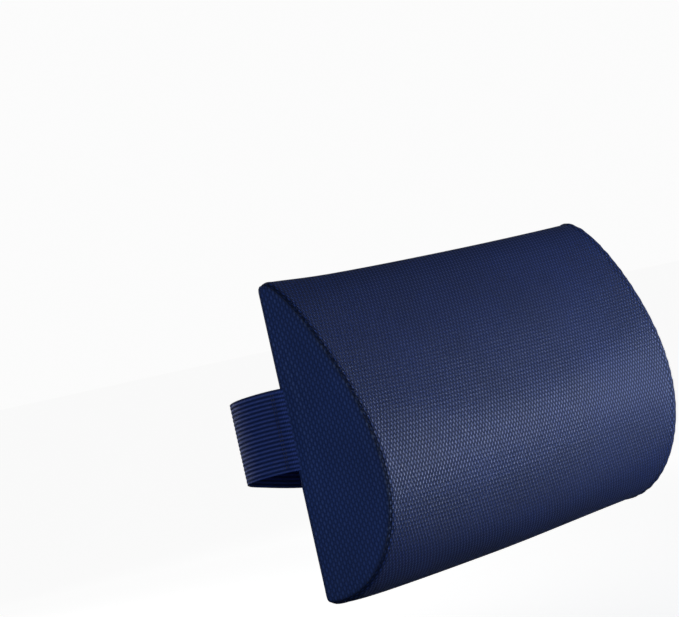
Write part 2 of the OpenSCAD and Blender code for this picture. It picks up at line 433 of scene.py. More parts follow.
def coarse_shell():
    """The closed cover as a coarse mesh: the wrap's columns, then each end's rings and hub."""
    v = np.arange(COARSE_V) * GIRTH / COARSE_V
    xs = np.linspace(-SEAM_X, SEAM_X, COARSE_U)
    points = [np.column_stack([np.full(COARSE_V, x), outline(v, x)]) for x in xs]
    faces = grid_faces(COARSE_U, COARSE_V, True)
    shares = 1 - np.arange(1, COARSE_RINGS) / COARSE_RINGS
    count = COARSE_U * COARSE_V
    for x, rim in ((-SEAM_X, 0), (SEAM_X, (COARSE_U - 1) * COARSE_V)):
        starts = [rim]
        ring = outline(v, x)
        for share in shares:
            points.append(np.column_stack([np.full(COARSE_V, x), HUB + share * (ring - HUB)]))
            starts.append(count)
            count += COARSE_V
        points.append(np.array([[x, HUB[0], HUB[1]]]))
        sides = [(c, (c + 1) % COARSE_V) for c in range(COARSE_V)]
        end = [(a + d, a + c, b + c, b + d) for a, b in zip(starts, starts[1:]) for c, d in sides]
        end += [(starts[-1] + d, starts[-1] + c, count) for c, d in sides]
        faces += [face[::-1] for face in end] if x > 0 else end
        count += 1
    return np.concatenate(points), faces


def inflate(points, faces, pinned):
    """Blender's cloth on a closed shell with some points held; returns where its points end."""
    shell = mesh_piece("inflating", points, faces)
    group = shell.vertex_groups.new(name="held")
    group.add([int(i) for i in pinned], 1.0, "REPLACE")
    cloth = shell.modifiers.new("cloth", "CLOTH")
    s = cloth.settings
    s.quality = 6
    s.mass = 0.25
    s.tension_stiffness = s.compression_stiffness = 45
    s.shear_stiffness = 25
    s.bending_stiffness = 8
    s.air_damping = 4
    s.use_pressure = True
    s.uniform_pressure_force = PRESSURE
    s.vertex_group_mass = "held"
    s.effector_weights.gravity = 0
    cloth.point_cache.frame_end = FRAMES
    for number in range(1, FRAMES + 1):
        bpy.context.scene.frame_set(number)
    evaluated = shell.evaluated_get(bpy.context.evaluated_depsgraph_get())
    moved = evaluated.to_mesh()
    end = np.zeros(len(points) * 3)
    moved.vertices.foreach_get("co", end)
    evaluated.to_mesh_clear()
    bpy.context.scene.frame_set(1)
    mesh = shell.data
    bpy.data.objects.remove(shell)
    bpy.data.meshes.remove(mesh)
    return end.reshape(-1, 3)


def cover_bulge():
    """How far the filled cover's points stand out from the plain profile: wrap, left end, right end."""
    points, faces = coarse_shell()
    rim = range(COARSE_V)
    pinned = [*rim, *[(COARSE_U - 1) * COARSE_V + c for c in rim]]
    move = inflate(points, faces, pinned) - points
    far = np.linalg.norm(move, axis=1, keepdims=True)
    move *= MOST_BULGE * np.tanh(far / MOST_BULGE) / np.maximum(far, 1e-9)
    wrap = move[: COARSE_U * COARSE_V].reshape(COARSE_U, COARSE_V, 3)
    for _ in range(SMOOTHINGS):
        wrap = (np.roll(wrap, 1, 1) + 2 * wrap + np.roll(wrap, -1, 1)) / 4
    ends, start = [], COARSE_U * COARSE_V
    size = (COARSE_RINGS - 1) * COARSE_V
    for rim_row in (wrap[0], wrap[-1]):
        rings = move[start : start + size].reshape(COARSE_RINGS - 1, COARSE_V, 3)
        hub = np.repeat(move[start + size][None, None], COARSE_V, 1)
        ends.append(np.concatenate([rim_row[None], rings, hub]))
        start += size + 1
    return wrap, ends[0], ends[1]


def spline_weights(places, count, closed):
    """Rows of Catmull-Rom weights that sample a line of count values at fractional places."""
    low = np.floor(places).astype(int)
    if not closed:
        low = np.clip(low, 0, count - 2)
    f = places - low
    parts = (-0.5 * f + f ** 2 - 0.5 * f ** 3, 1 - 2.5 * f ** 2 + 1.5 * f ** 3,
             0.5 * f + 2 * f ** 2 - 1.5 * f ** 3, -0.5 * f ** 2 + 0.5 * f ** 3)
    weights = np.zeros((len(places), count))
    for k, part in enumerate(parts):
        index = low + k - 1
        index = index % count if closed else np.clip(index, 0, count - 1)
        np.add.at(weights, (np.arange(len(places)), index), part)
    return weights


def sample(field, rows, columns):
    """A field of vectors on a coarse grid, read at finer rows and columns; columns go round."""
    a = spline_weights(rows, field.shape[0], False)
    b = spline_weights(columns, field.shape[1], True)
    return np.einsum("ri,cj,ijk->rck", a, b, field)


BULGE_WRAP, BULGE_LEFT, BULGE_RIGHT = cover_bulge()

# ---------------- the cover
FINE_V = 236
V = np.arange(FINE_V) * GIRTH / FINE_V
V_PLACES = V / GIRTH * COARSE_V
# The wrap's stations from an end inwards: close at the seam's crease, then wider and wider
END_STEPS = np.array([0, 0.3, 0.7, 1.2, 1.8, 2.5, 3.3, 4.2, 5.2, 6.3,
                      7.5, 8.8, 10.2, 11.8, 13.6, 15.8, 18.5, 22]) * MM


def wrap_stations():
    """Places along the cushion where the wrap's profile is drawn."""
    middle = np.linspace(-SEAM_X + 26 * MM, SEAM_X - 26 * MM, 88)
    return np.concatenate([-SEAM_X + END_STEPS, middle, (SEAM_X - END_STEPS)[::-1]])


# Each end: the band raised by the seam allowance under the cloth, the puckers, the lip round the
# panel, how far the panel's middle stands out, the pinch of its corners, and a seed for the puckers
LEFT = dict(side=-1, band=0.2 * MM, pucker=0.05 * MM, lip=1.0 * MM, base=1.0 * MM, ear=0.3 * MM, seed=3)
RIGHT = dict(side=1, band=0.7 * MM, pucker=0.14 * MM, lip=2.6 * MM, base=1.0 * MM, ear=1.2 * MM, seed=8)
BAND_W = 8 * MM
# The width of the painted shade that darkens the cloth along a seam's crease
SEAM_SHADE_W = 1.2 * MM
# About how far from a corner the pinch reaches
EAR_REACH = 7 * MM
# The upper corners are pinched out less than the lower ones
TOP_EAR = 0.1
# How far the upper corner of the left end stands above the long edge beside it
LEFT_LIFT, LIFT_REACH = 1.4 * MM, 45 * MM
# How far the middle hangs lower than the ends, at the top and at the fuller underside
DROOP, DROOP_UNDER = 1.8 * MM, 3.6 * MM


def pucker(end, v):
    """The puckers' height along an end seam."""
    return end["pucker"] * ripple(v, end["seed"], 9, 5 * MM, 14 * MM)


def shaped(points):
    """The pinched corners, where the end seams meet the long back edges, and the droop of the middle."""
    moved = points.copy()
    for end in (LEFT, RIGHT):
        for up in (-1, 1):
            corner = np.array([end["side"] * SEAM_X, -3 * MM, up * (HEIGHT / 2 - 2 * MM)])
            way = np.array([end["side"] * 0.75, 0.1, up * 0.5])
            near = np.exp(-np.sum((points - corner) ** 2, -1) / EAR_REACH ** 2)
            size = end["ear"] * (TOP_EAR if up > 0 else 1)
            moved += size * near[..., None] * way
    reach = np.clip(np.abs(points[..., 0]) / SEAM_X, 0, 1)
    under = smooth(-points[..., 2], 0, 0.08) * smooth(-points[..., 0], -0.16, 0.02)
    lift = np.exp(-(((points[..., 0] + SEAM_X) / LIFT_REACH) ** 2)) * smooth(points[..., 2], 0.04, 0.09)
    moved[..., 2] += LEFT_LIFT * lift - DROOP * (1 - reach ** 2.2)
    moved[..., 2] -= (DROOP_UNDER - DROOP) * under * (1 - reach ** 14)
    return moved


def wrap_surface(xs, inset=0.0):
    """The wrap's points over stations xs and the fine profile."""
    base, out = outline(V[None], xs[:, None]), outline_normal(V[None], xs[:, None])
    bulge = sample(BULGE_WRAP, (xs + SEAM_X) / (2 * SEAM_X) * (COARSE_U - 1), V_PLACES)
    rise = np.full((len(xs), FINE_V), -inset)
    for end in (LEFT, RIGHT):
        s = (SEAM_X - end["side"] * xs)[:, None]
        groove, roll = seam_depth(V, end["side"])
        crease = np.exp(-((s / (1.5 * MM)) ** 1.4))
        shoulder = 1 - np.sqrt(1 - (1 - np.clip(s / ROLL_W, 0, 1)) ** 2)
        band_fall = 1 - smooth(s, BAND_W - 2 * MM, BAND_W + 1.5 * MM)
        band = end["band"] * smooth(s, 0.5 * MM, 2.5 * MM) * band_fall
        folds = np.exp(-s / (9 * MM)) * smooth(s, 0, 3 * MM) * pucker(end, V)
        rise += band + folds - groove * crease - roll * shoulder
    points = np.empty((len(xs), FINE_V, 3))
    points[..., 0] = xs[:, None]
    points[..., 1:] = base + rise[..., None] * out
    return shaped(points + bulge)


def make_wrap():
    """The cover's wrap, one tube of cloth with creases at both end seams."""
    xs = wrap_stations()
    points = wrap_surface(xs)
    uv = grid_uv(xs, V)

    def round_the_join(loops):
        """The last column of faces runs on to the whole girth instead of back to nothing."""
        coords = uv[loops].reshape(-1, 4, 2)
        jump = (coords[..., 1].max(1) - coords[..., 1].min(1)) > GIRTH / 2
        ends = coords[..., 1] < GIRTH / 2
        coords[..., 1] += GIRTH * (jump[:, None] & ends)
        return coords.reshape(-1, 2)

    faces = grid_faces(len(xs), FINE_V, True)
    piece = mesh_piece("cover_wrap_cloth", points.reshape(-1, 3), faces, round_the_join)
    s = SEAM_X - np.abs(xs)
    # Painted shade that darkens the cloth beside the end seams
    mark(piece, "crease", np.broadcast_to(np.exp(-s / SEAM_SHADE_W)[:, None], points.shape[:2]))
    return finish_piece(piece, COVER, "cushion", ["cover_wrap"])


# The panel's rings, as shares of the way from its hub to its seam: close at the seam
PANEL_SHARES = 1 - np.array([0, 0.004, 0.009, 0.016, 0.025, 0.036, 0.05, 0.066, 0.085, 0.107,
                             0.132, 0.16, 0.195, 0.235, 0.28, 0.33, 0.385, 0.445, 0.51, 0.58,
                             0.65, 0.73, 0.81, 0.89, 0.96])


def rim_distance(points, rim):
    """Each point's distance to the rim's points."""
    return np.sqrt(((points[:, :, None] - rim[None, None]) ** 2).sum(-1)).min(-1)


def make_panel(name, end, bulge, stands_for):
    """An end panel in rings from seam to hub, with a lip and puckers beside the seam."""
    side = end["side"]
    rim = seam_curve(V, side)
    plan = HUB + PANEL_SHARES[:, None, None] * (rim - HUB)[None]
    d = rim_distance(plan, seam_curve(np.arange(4 * FINE_V) * GIRTH / (4 * FINE_V), side))
    lip = end["lip"] * (1 - np.exp(-d / (1.0 * MM))) * np.exp(-((d / (6 * MM)) ** 2))
    base = end["base"] * smooth(d, 2 * MM, 9 * MM)
    rise = lip + base + smooth(d, 0.5 * MM, 2.5 * MM) * np.exp(-d / (7 * MM)) * pucker(end, V)[None]
    points = np.empty(plan.shape[:2] + (3,))
    points[..., 0] = side * (SEAM_X + rise)
    points[..., 1:] = plan
    # The bulge evens out towards the middle of the panel
    move = sample(bulge, (1 - PANEL_SHARES) * COARSE_RINGS, V_PLACES)
    middle = move[PANEL_SHARES < 0.4].mean((0, 1))
    points += move + smooth(1 - PANEL_SHARES, 0.5, 0.75)[:, None, None] * (middle - move)
    points = shaped(points).reshape(-1, 3)
    hub = points[-FINE_V:].mean(0)
    points = np.concatenate([points, hub[None]])
    rows = len(PANEL_SHARES)
    faces = grid_faces(rows, FINE_V, True)
    last = (rows - 1) * FINE_V
    faces += [(last + c, last + (c + 1) % FINE_V, len(points) - 1) for c in range(FINE_V)]
    if side < 0:
        faces = [f[::-1] for f in faces]
    piece = mesh_piece(name, points, faces, points[:, 1:])
    # Painted shade that darkens the panel's cloth beside its seam
    mark(piece, "crease", np.append(np.exp(-d / SEAM_SHADE_W).ravel(), 0))
    # The same cloth, but the left end gets a lighter, flatter copy of its colours, painted light under which
    # its weave stands out less, as photographed
    cloth = LEFT_END_LIT_WEAVE if side < 0 else COVER
    return finish_piece(piece, cloth, "cushion", [stands_for])


# ---------------- stitches
def capsule_ring(points_a, points_b, radius, sides=6):
    """Capsules from each point of one list to its partner in the other, as one mesh's data."""
    verts, faces, uv = [], [], []
    steps = ((0.0, 0.25), (0.12, 0.75), (0.35, 1.0), (0.65, 1.0), (0.88, 0.75), (1.0, 0.25))
    for a, b in zip(points_a, points_b):
        along = b - a
        length = np.linalg.norm(along)
        along = along / length
        side = np.cross(along, [0.31, 0.55, 0.77])
        side /= np.linalg.norm(side)
        other = np.cross(along, side)
        start = len(verts)
        for share, size in steps:
            for k in range(sides):
                angle = 2 * math.pi * k / sides
                out = math.cos(angle) * side + math.sin(angle) * other
                verts.append(a + along * length * share + radius * size * out)
                uv.append((length * share, radius * angle))
        faces += [tuple(start + k for k in face) for face in grid_faces(len(steps), sides, True)]
        faces.append(tuple(start + k for k in reversed(range(sides))))
        faces.append(tuple(start + (len(steps) - 1) * sides + k for k in range(sides)))
    return np.array(verts), faces, np.array(uv)


def stitches(name, line, pitch, length, radius, material):
    """A row of stitches along a dense line of points, as one piece."""
    at = run_along(line)
    count = max(1, int(at[-1] / pitch))
    starts = (np.arange(count) + 0.5) * at[-1] / count - length / 2

    def place(s):
        return np.stack([np.interp(s, at, line[:, k]) for k in range(3)], 1)

    verts, faces, uv = capsule_ring(place(starts), place(starts + length), radius)
    piece = mesh_piece(name, verts, faces, uv)
    piece.data.materials.append(material)
    return piece


# The front arc of an end seam starts at the lower back corner and ends at the upper one
LOWER_CORNER = HEIGHT / 2 + JOIN_Z
UPPER_CORNER = GIRTH - HEIGHT / 2 + JOIN_Z


def end_seam_line(side, out, start=LOWER_CORNER, stop=UPPER_CORNER):
    """The end seam as points in space, between two distances along the profile."""
    v = np.linspace(start, stop, 900)
    line = np.column_stack([np.full(len(v), side * (SEAM_X + 0.25 * MM)), seam_curve(v, side, out)])
    return shaped(line)


def make_cover():
    """The cover's three cloths and its stitches."""
    make_wrap()
    make_panel("left_end_cloth", LEFT, BULGE_LEFT, "left_end_panel")
    make_panel("right_end_cloth", RIGHT, BULGE_RIGHT, "right_end_panel")
    for name, side in (("left", -1), ("right", 1)):
        # The right seam's stitches take the lighter copy of the thread, painted light; the left's take the
        # dark thread
        thread, out = (LIT_SEAM_THREAD, -0.05 * MM) if side > 0 else (THREAD, -0.6 * MM)
        line = end_seam_line(side, out)
        row = stitches(f"{name}_seam_stitches", line, 3.4 * MM, 2.7 * MM, 0.26 * MM, thread)
        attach(row, "cushion")
        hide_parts(f"{name}_seam_thread")
    # The last few stitches at the lower back corner of the right end take the pale thread: painted highlights
    # where they catch the light
    line = end_seam_line(1, 0.7 * MM, LOWER_CORNER + 2 * MM, LOWER_CORNER + 26 * MM)
    corner_glints = stitches("right_corner_stitches", line, 3.6 * MM, 2.6 * MM, 0.42 * MM, GLINT_THREAD)
    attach(corner_glints, "cushion")
    # The stitches that hold the elastic's root, beside it, take the pale thread: painted glints
    line = end_seam_line(-1, 0.1 * MM, GIRTH - 34 * MM, GIRTH + 4 * MM)
    glints = stitches("elastic_root_stitches", line, 3.0 * MM, 1.1 * MM, 0.3 * MM, GLINT_THREAD)
    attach(glints, "cushion")
    # The join that closes the wrap, behind the straps
    xs = np.linspace(-SEAM_X + 12 * MM, SEAM_X - 12 * MM, 200)
    lift = sample(BULGE_WRAP, (xs + SEAM_X) / (2 * SEAM_X) * (COARSE_U - 1), np.array([1.0]))[:, 0, 1]
    join = shaped(np.stack([xs, lift + 0.1 * MM, np.full_like(xs, JOIN_Z - 4 * MM)], 1))
    row = stitches("back_join_stitches", join, 3.4 * MM, 2.6 * MM, 0.26 * MM, THREAD)
    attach(row, "cushion")


# ---------------- the straps' paths, as in the CAD model
ELASTIC_W = 50 * MM
ELASTIC_T = 1.6 * MM
LAYER_T = 1.1 * MM
FABRIC_W = FABRIC_HI.z - FABRIC_LO.z
PATCH_T = 1.2 * MM
GAP = 0.3 * MM
OVERLAP_Y = 31 * MM
OVERLAP_Z = -8 * MM
ELASTIC_ROOT_Z = 10 * MM
LEAN = 0.12
LEVEL_FROM, LEVEL_TO = -20 * MM, 70 * MM
HALF_W = SEAM_X + 1.2 * MM
ELASTIC_ROOT = np.array([-HALF_W - 0.7 * MM, 1.2 * MM])
ELASTIC_RISE, ELASTIC_BEND, ELASTIC_FALL = 21 * MM, 25 * MM, 150 * MM
# Stations on the stretch of elastic that is caught in the seam
ELASTIC_IN = 6
FABRIC_ROOT = np.array([HALF_W + 0.9 * MM, 1.7 * MM])
FABRIC_STUB, FABRIC_BEND, FABRIC_DROP = 1 * MM, 3 * MM, math.radians(20)
# Stations on the stretch of cloth strap that is caught in the seam
FABRIC_IN = 5
FABRIC_Y = OVERLAP_Y + ELASTIC_T / 2 + GAP + 2 * PATCH_T + LAYER_T
CREST = ELASTIC_ROOT + np.array([ELASTIC_BEND, ELASTIC_RISE + ELASTIC_BEND])
RAMP_END = FABRIC_ROOT + np.array([-FABRIC_BEND * (1 - math.sin(FABRIC_DROP)),
                                   FABRIC_STUB + FABRIC_BEND * math.cos(FABRIC_DROP)])


def elastic_plan():
    """The elastic's path as [x, y], from inside its seam to its free end."""
    # Out of the seam, then straight back
    inside = ELASTIC_ROOT + np.array([3.2, -4.0]) * MM
    shares = np.linspace(0, 1, ELASTIC_IN + 1)[:-1]
    stub = [(ELASTIC_ROOT[0] + (inside[0] - ELASTIC_ROOT[0]) * (1 - s) ** 2,
             inside[1] + (ELASTIC_ROOT[1] - inside[1]) * s) for s in shares]
    rise = [ELASTIC_ROOT + [0, ELASTIC_RISE * k / 14] for k in range(14)]
    angles = np.linspace(np.pi, np.pi / 2, 26)
    bend = [CREST + ELASTIC_BEND * np.array([math.cos(a), math.sin(a) - 1]) for a in angles]
    xs = np.linspace(CREST[0], LEVEL_FROM, 78)[1:]
    slope = [(x, CREST[1] + (OVERLAP_Y - CREST[1]) * cosine_ease(x, CREST[0], LEVEL_FROM)) for x in xs]
    level = [(x, OVERLAP_Y) for x in np.linspace(LEVEL_FROM, ELASTIC_END, 44)[1:]]
    return np.array([*stub, *rise, *bend, *slope, *level])


def fabric_plan(x0, x1=None):
    """From x0 on the overlap to the seam, or only to x1."""
    if x1 is not None:
        return np.array([(x, FABRIC_Y) for x in np.linspace(x0, x1, 16)])
    level = [(x, FABRIC_Y) for x in np.linspace(x0, LEVEL_TO, 28)]
    shares = np.linspace(0, 1, 70)[1:]
    ramp = [(LEVEL_TO + (RAMP_END[0] - LEVEL_TO) * s,
             RAMP_END[1] + (FABRIC_Y - RAMP_END[1]) * math.cos(math.pi / 2 * s)) for s in shares]
    angles = np.linspace(math.pi / 2 - FABRIC_DROP, 0, 8)[1:]
    bend = [FABRIC_ROOT + [FABRIC_BEND * (math.cos(a) - 1), FABRIC_STUB + FABRIC_BEND * math.sin(a)]
            for a in angles]
    # Into the seam
    inside = FABRIC_ROOT + np.array([-3.4, -4.5]) * MM
    shares = np.linspace(0, 1, FABRIC_IN + 1)[1:]
    stub = [FABRIC_ROOT + (inside - FABRIC_ROOT) * [s ** 2, s] for s in shares]
    return np.array([*level, *ramp, *bend, FABRIC_ROOT, *stub])


def elastic_height(plan):
    """The elastic comes down over its first stretch, from its seam to the height of the overlap."""
    turn = np.arccos(np.clip((CREST[0] - plan[:, 0]) / ELASTIC_BEND, 0, 1))
    run = np.minimum(ELASTIC_RISE, plan[:, 1] - ELASTIC_ROOT[1]) + ELASTIC_BEND * turn
    run += np.maximum(0, plan[:, 0] - CREST[0])
    height = ELASTIC_ROOT_Z + (OVERLAP_Z - ELASTIC_ROOT_Z) * cosine_ease(run, 0, ELASTIC_FALL)
    return height, LEAN * cosine_ease(plan[:, 0], CREST[0], LEVEL_FROM)


def fabric_height(plan):
    """The cloth strap's height along its plan, and how far it leans."""
    return np.full(len(plan), OVERLAP_Z), LEAN * (1 - cosine_ease(plan[:, 0], LEVEL_TO, RAMP_END[0]))


def on_strap(plan, heights, offsets, across):
    """Points at offsets along the plan's normal and at distances across the strap.

    offsets is stations by points, or one value a point; across is one value a point."""
    centre, lean = heights(plan)
    along = np.gradient(plan, axis=0)
    normal = np.stack([-along[:, 1], along[:, 0]], 1)
    normal /= np.linalg.norm(normal, axis=1, keepdims=True)
    offsets = np.broadcast_to(offsets, (len(plan), len(across)))
    points = np.empty(offsets.shape + (3,))
    points[..., 0] = plan[:, None, 0] + offsets * normal[:, None, 0]
    points[..., 1] = plan[:, None, 1] + offsets * normal[:, None, 1] + lean[:, None] * across[None]
    points[..., 2] = centre[:, None] + across[None]
    return points


def ribbon(name, plan, heights, loop_offsets, loop_across):
    """A closed strap: a loop of section points carried along the plan, with flat ends."""
    points = on_strap(plan, heights, loop_offsets, loop_across)
    rows, columns = points.shape[:2]
    faces = [f[::-1] for f in grid_faces(rows, columns, True)]
    faces.append(tuple(range(columns)))
    faces.append(tuple((rows - 1) * columns + c for c in reversed(range(columns))))
    at = run_along(plan)
    uv = grid_uv(at, loop_across)
    return mesh_piece(name, points.reshape(-1, 3), faces, uv)


def section(width, low, high, samples, relief, edge):
    """A strap's section as a loop: the far face up, the near face down, with rounded edges.

    relief(z) adds to each face's height, outwards."""
    z = np.linspace(-width / 2, width / 2, samples)
    over = np.clip(np.abs(z) - (width / 2 - edge), 0, edge) / edge
    shade = 1 - np.sqrt(np.clip(1 - over ** 2, 0, 1))
    extra = relief(z) if relief else 0 * z
    middle, half = (low + high) / 2, (high - low) / 2
    face = half * (1 - 0.85 * shade) + extra * (1 - shade)
    offsets = np.concatenate([middle - face, (middle + face)[::-1]])
    return offsets, np.concatenate([z, z[::-1]])


def make_elastic():
    """The ribbed elastic, its ribs as real cords along both faces."""
    ribs = int(round(ELASTIC_W / RIB_PITCH))

    def relief(z):
        return 0.22 * MM * (np.cos(2 * np.pi * z / RIB_PITCH) - 1) / 2

    offsets, across = section(ELASTIC_W, -ELASTIC_T / 2, ELASTIC_T / 2, ribs * 8 + 1, relief, 0.6 * MM)
    piece = ribbon("elastic_webbing", elastic_plan(), elastic_height, offsets, across)
    finish_piece(piece, ELASTIC, None, ["elastic_strap"])
    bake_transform(piece)


# How far in from their edges the cloth strap and the patches are sewn, and the tab's turned-in end
SEW_IN, PATCH_SEW_IN = 3 * MM, 2 * MM
HEM_LEN = 8 * MM


def sewn(z):
    """The dimple that a row of stitches pulls along each edge of the fabric strap."""
    return -0.28 * MM * np.exp(-((np.abs(z) - (FABRIC_W / 2 - SEW_IN)) / (0.8 * MM)) ** 2)


def make_fabric():
    """The doubled cloth strap as two layers, and the tab as the same two layers beyond the patch."""
    split = HOOK_LO.x + 4 * MM
    layers = (("fabric_strap", 0, LAYER_T), ("fabric_strap_lining", -LAYER_T, 0))
    tab_nodes = ("pull_tab", "pull_tab_lining")
    for (node, low, high), tab_node in zip(layers, tab_nodes):
        offsets, across = section(FABRIC_W, low, high, 59, sewn, 0.5 * MM)
        piece = ribbon(f"{node}_cloth", fabric_plan(split), fabric_height, offsets, across)
        finish_piece(piece, STRAP, None, [node])
        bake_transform(piece)
        piece = ribbon(f"{tab_node}_cloth", fabric_plan(TAB_END, split), fabric_height, offsets, across)
        finish_piece(piece, STRAP, None, [tab_node])
        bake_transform(piece)
    hem_end = TAB_END + HEM_LEN
    offsets, across = section(FABRIC_W - 1 * MM, -2 * LAYER_T, -LAYER_T, 41, None, 0.5 * MM)
    piece = ribbon("tab_hem_cloth", fabric_plan(TAB_END, hem_end), fabric_height, offsets, across)
    finish_piece(piece, STRAP, "strap_tab", ["tab_hem"])
    return split, hem_end


# Spacing, length and radius of the stitches in the straps' rows
ROW_PITCH, ROW_STITCH, ROW_RADIUS = 3.2 * MM, 2.3 * MM, 0.24 * MM


def strap_row(name, plan, heights, offset, across):
    """A row of stitches that runs along a strap at a distance across it."""
    line = on_strap(plan, heights, np.array([offset]), np.array([across]))[:, 0]
    return stitches(name, line, ROW_PITCH, ROW_STITCH, ROW_RADIUS, THREAD)


def join_pieces(name, parts):
    """Several pieces as one mesh."""
    bpy.ops.object.select_all(action="DESELECT")
    for part in parts:
        part.select_set(True)
    bpy.context.view_layer.objects.active = parts[0]
    bpy.ops.object.join()
    parts[0].name = parts[0].data.name = name
    return parts[0]


def box_rows(lo, hi, y, heights, offset, name):
    """Four rows of stitches round a patch, a little in from its edges."""
    x0, x1 = lo.x + PATCH_SEW_IN, hi.x - PATCH_SEW_IN
    half = (hi.z - lo.z) / 2 - PATCH_SEW_IN
    rows = []
    for k, z in enumerate((-half, half)):
        plan = np.array([(x, y) for x in np.linspace(x0, x1, 20)])
        rows.append(strap_row(f"{name}_{k}", plan, heights, offset, z))
    for k, x in enumerate((x0, x1)):
        plan = np.array([(x, y), (x + 0.1 * MM, y)])
        across = np.linspace(-half + 2 * MM, half - 2 * MM, 24)
        line = on_strap(plan, heights, offset, across)[0]
        rows.append(stitches(f"{name}_{k + 2}", line, ROW_PITCH, ROW_STITCH, ROW_RADIUS, THREAD))
    return join_pieces(name, rows)


def across_row(plan, index, heights, offset, half, name):
    """A row of stitches straight across a strap at one of its stations."""
    across = np.linspace(-half, half, 40)
    line = on_strap(plan, heights, offset, across)[index]
    return stitches(name, line, 2.6 * MM, 2.0 * MM, 0.26 * MM, THREAD)


def make_strap_stitches(split, hem_end):
    """Every row of stitches on the two halves of the strap."""
    half = FABRIC_W / 2 - SEW_IN
    top = LAYER_T - 0.12 * MM
    plan = fabric_plan(split)[:-9 - FABRIC_IN]
    rows = [strap_row(f"edge_{k}", plan, fabric_height, top, z) for k, z in enumerate((-half, half))]
    edge = join_pieces("fabric_strap_stitches", rows)
    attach(edge, "fabric_half")
    plan = fabric_plan(TAB_END + 2 * MM, split)
    rows = [strap_row(f"tab_{k}", plan, fabric_height, top, z) for k, z in enumerate((-half, half))]
    hem_plan = np.array([(hem_end - 1.5 * MM, FABRIC_Y), (hem_end - 1.4 * MM, FABRIC_Y)])
    rows.append(across_row(hem_plan, 0, fabric_height, LAYER_T, half - 2 * MM, "tab_2"))
    tab = join_pieces("pull_tab_stitches", rows)
    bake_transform(tab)
    hook = box_rows(HOOK_LO, HOOK_HI, FABRIC_Y, fabric_height, LAYER_T, "hook_patch_stitches")
    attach(hook, "fabric_half")
    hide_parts("hook_patch_thread")
    loop = box_rows(LOOP_LO, LOOP_HI, OVERLAP_Y, elastic_height, -ELASTIC_T / 2, "loop_patch_stitches")
    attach(loop, "elastic_half")
    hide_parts("loop_patch_thread")
    plan = elastic_plan()
    reach = ELASTIC_W / 2 - 2 * MM
    rows = [across_row(plan, ELASTIC_IN + 2 + k, elastic_height, ELASTIC_T / 2, reach, f"e_{k}")
            for k in (0, 1)]
    tack = join_pieces("elastic_tack_stitches", rows)
    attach(tack, "elastic_half")
    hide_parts("elastic_tack")
    plan = fabric_plan(split)
    rows = [across_row(plan, -12 - FABRIC_IN - 2 * k, fabric_height, LAYER_T, half, f"f_{k}") for k in (0, 1)]
    tack = join_pieces("fabric_tack_stitches", rows)
    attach(tack, "fabric_half")
    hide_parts("fabric_tack")


# ---------------- hook and loop
def make_patch(name, lo, hi, y, heights, low, high, make_pile, material):
    """A patch on one half of the strap: a backing with its pile."""
    width = hi.z - lo.z
    plan = np.array([(x, y) for x in np.linspace(lo.x, hi.x, 24)])
    offsets, across = section(width, low, high, 25, None, 0.2 * MM)
    backing = ribbon(f"{name}_backing", plan, heights, offsets, across)
    backing.data.materials.append(material)
    pile = make_pile(lo, hi, width)
    pile.data.materials.append(material)
    return join_pieces(f"{name}_tape", [backing, pile])


def make_patches():
    """Rows of hooks under the cloth strap, and a pile of loops on the elastic."""
    low, high = -LAYER_T - 0.5 * MM, -LAYER_T
    hooks = make_patch("hook_patch", HOOK_LO, HOOK_HI, FABRIC_Y, fabric_height, low, high, make_hooks, HOOK)
    finish_piece(hooks, HOOK, "fabric_half", ["hook_patch"])
    low, high = ELASTIC_T / 2, ELASTIC_T / 2 + 0.6 * MM
    loops = make_patch("loop_patch", LOOP_LO, LOOP_HI, OVERLAP_Y, elastic_height, low, high, make_loops, LOOP)
    finish_piece(loops, LOOP, "elastic_half", ["loop_patch"])


def make_hooks(lo, hi, width):
    """Small bent hooks in rows, standing on the hook tape's backing."""
    xs = np.arange(lo.x + 1.5 * MM, hi.x - 1 * MM, 1.8 * MM)
    zs = np.arange(-width / 2 + 1.5 * MM, width / 2 - 1 * MM, 1.6 * MM)
    plan = np.stack([xs, np.full(len(xs), FABRIC_Y)], 1)
    foot = on_strap(plan, fabric_height, -LAYER_T - 0.4 * MM, zs).reshape(-1, 3)
    knee = on_strap(plan, fabric_height, -LAYER_T - 1.05 * MM, zs).reshape(-1, 3)
    tip = knee + np.array([0.45 * MM, 0.1 * MM, 0])
    a = capsule_ring(foot, knee, 0.14 * MM, 5)
    b = capsule_ring(knee, tip, 0.13 * MM, 5)
    faces = a[1] + [tuple(i + len(a[0]) for i in f) for f in b[1]]
    return mesh_piece("hooks", np.concatenate([a[0], b[0]]), faces, np.concatenate([a[2], b[2]]))


def make_loops(lo, hi, width):
    """A low uneven pile."""
    columns, rows = 84, 64
    xs = np.linspace(lo.x + 0.5 * MM, hi.x - 0.5 * MM, columns)
    zs = np.linspace(-width / 2 + 0.5 * MM, width / 2 - 0.5 * MM, rows)
    rng = np.random.default_rng(21)
    pile = ELASTIC_T / 2 + 0.62 * MM + 0.5 * MM * rng.random((columns, rows))
    pile[[0, -1], :] = pile[:, [0, -1]] = ELASTIC_T / 2 + 0.4 * MM
    plan = np.stack([xs, np.full(columns, OVERLAP_Y)], 1)
    points = on_strap(plan, elastic_height, pile, zs).reshape(-1, 3)
    uv = grid_uv(xs, zs)
    return mesh_piece("loops", points, grid_faces(columns, rows), uv)


# ---------------- inside the cover
COVER_T = 1.2 * MM
SLEEVE_T = 0.6 * MM
FOAM_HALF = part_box("foam_core")[1].x


